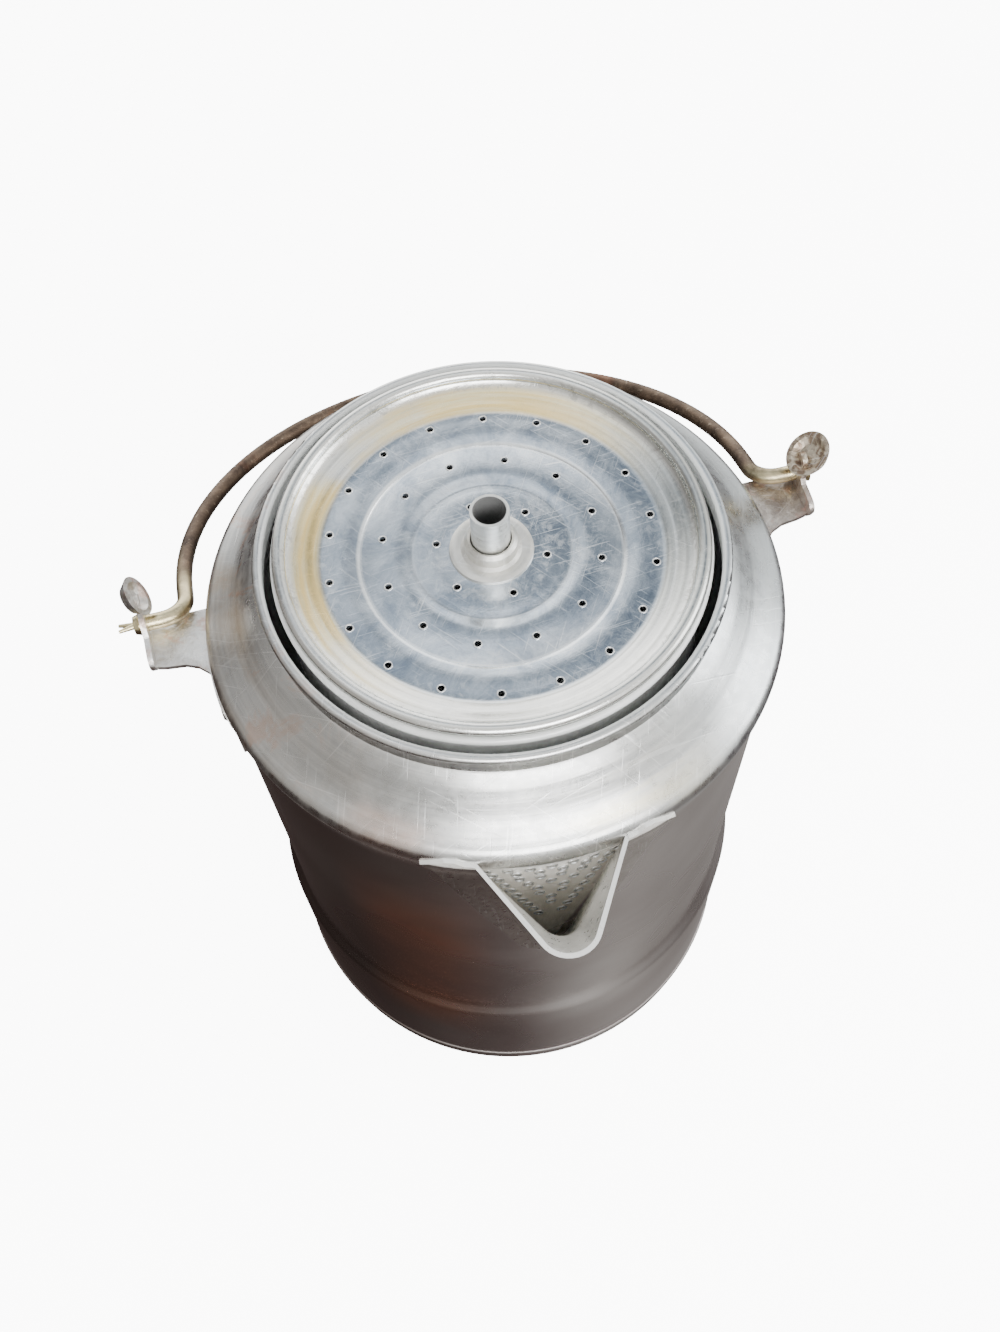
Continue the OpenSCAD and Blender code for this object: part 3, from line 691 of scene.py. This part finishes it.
def world():
    """A bright room with a dark blue-grey patch high behind, and a dark brown table below."""
    scene_world = bpy.data.worlds.new("studio")
    bpy.context.scene.world = scene_world
    scene_world.use_nodes = True
    t = Tree(scene_world.node_tree)
    x, y, z = t.split(t.add("ShaderNodeTexCoord").outputs["Generated"])
    # Above the horizon, from the front (low y) to the back (high y).
    sky = t.ramp(t.span(y, -1.0, 1.0), (
        (0.0, (0.90, 0.90, 0.88)), (0.30, (1.25, 1.25, 1.22)), (0.60, (1.35, 1.37, 1.38)),
        (0.73, (1.10, 1.14, 1.18)), (0.78, (0.30, 0.35, 0.41)), (0.86, (0.16, 0.20, 0.25)),
        (0.92, (0.75, 0.79, 0.82)), (1.0, (3.2, 3.2, 3.15))))
    sky = t.mix(t.span(x, -0.30, -0.90, 0.0, 0.8), sky, (0.30, 0.27, 0.24))
    sky = t.mix(t.span(x, 0.30, 0.75, 0.0, 0.8), sky, (1.45, 1.45, 1.40))
    # Below the horizon, from -X (dark brown) over the middle (grey) to +X (dark).
    below = t.ramp(t.span(x, -1.0, 1.0), (
        (0.0, (0.035, 0.024, 0.021)), (0.28, (0.060, 0.040, 0.035)), (0.47, (0.14, 0.11, 0.105)),
        (0.58, (0.30, 0.28, 0.27)), (0.72, (0.52, 0.50, 0.48)), (0.84, (0.25, 0.23, 0.22)),
        (1.0, (0.10, 0.085, 0.085))))
    below = t.mix(t.span(z, -0.55, -0.98, 0.0, 0.25), below, (0.06, 0.05, 0.05))
    both = t.mix(t.span(z, -0.34, 0.10), below, sky)
    t.put(t.nodes["Background"].inputs["Color"], both)
    t.nodes["Background"].inputs["Strength"].default_value = 1.0


def camera():
    """Looks down on the pot from 61 degrees, a little to the left of the spout."""
    data = bpy.data.cameras.new("view")
    data.sensor_width = CAMERA_SENSOR_MM
    data.lens = CAMERA_LENS_MM
    data.clip_start = 0.01
    obj = bpy.data.objects.new("view", data)
    bpy.context.collection.objects.link(obj)
    turn, lift, roll = map(math.radians, (CAMERA_TURN, CAMERA_LIFT, CAMERA_ROLL))
    back = Vector((math.cos(lift) * math.cos(turn), math.cos(lift) * math.sin(turn), math.sin(lift)))
    side = Vector((-math.sin(turn), math.cos(turn), 0.0))
    up = back.cross(side)
    right = math.cos(roll) * side + math.sin(roll) * up
    top = -math.sin(roll) * side + math.cos(roll) * up
    place = RIM_CENTRE + CAMERA_BACK * back + CAMERA_ASIDE * side - CAMERA_DOWN * up
    obj.matrix_world = Matrix((
        (right.x, top.x, back.x, place.x), (right.y, top.y, back.y, place.y),
        (right.z, top.z, back.z, place.z), (0.0, 0.0, 0.0, 1.0)))
    bpy.context.scene.camera = obj


dress_nodes()
spreader_burrs()
strainer_burrs()
floor()
world()
camera()
area_light("front_box", (0.10, -0.95, 0.85), (0.0, 0.0, 0.18), (0.9, 0.5), 14.0)
area_light("top_box", (-0.25, 0.35, 1.25), (0.0, 0.0, 0.2), (0.9, 0.7), 1.0, (0.93, 0.97, 1.0))
area_light("right_box", (1.05, -0.10, 0.55), (0.0, 0.0, 0.12), (0.5, 0.7), 5.0)
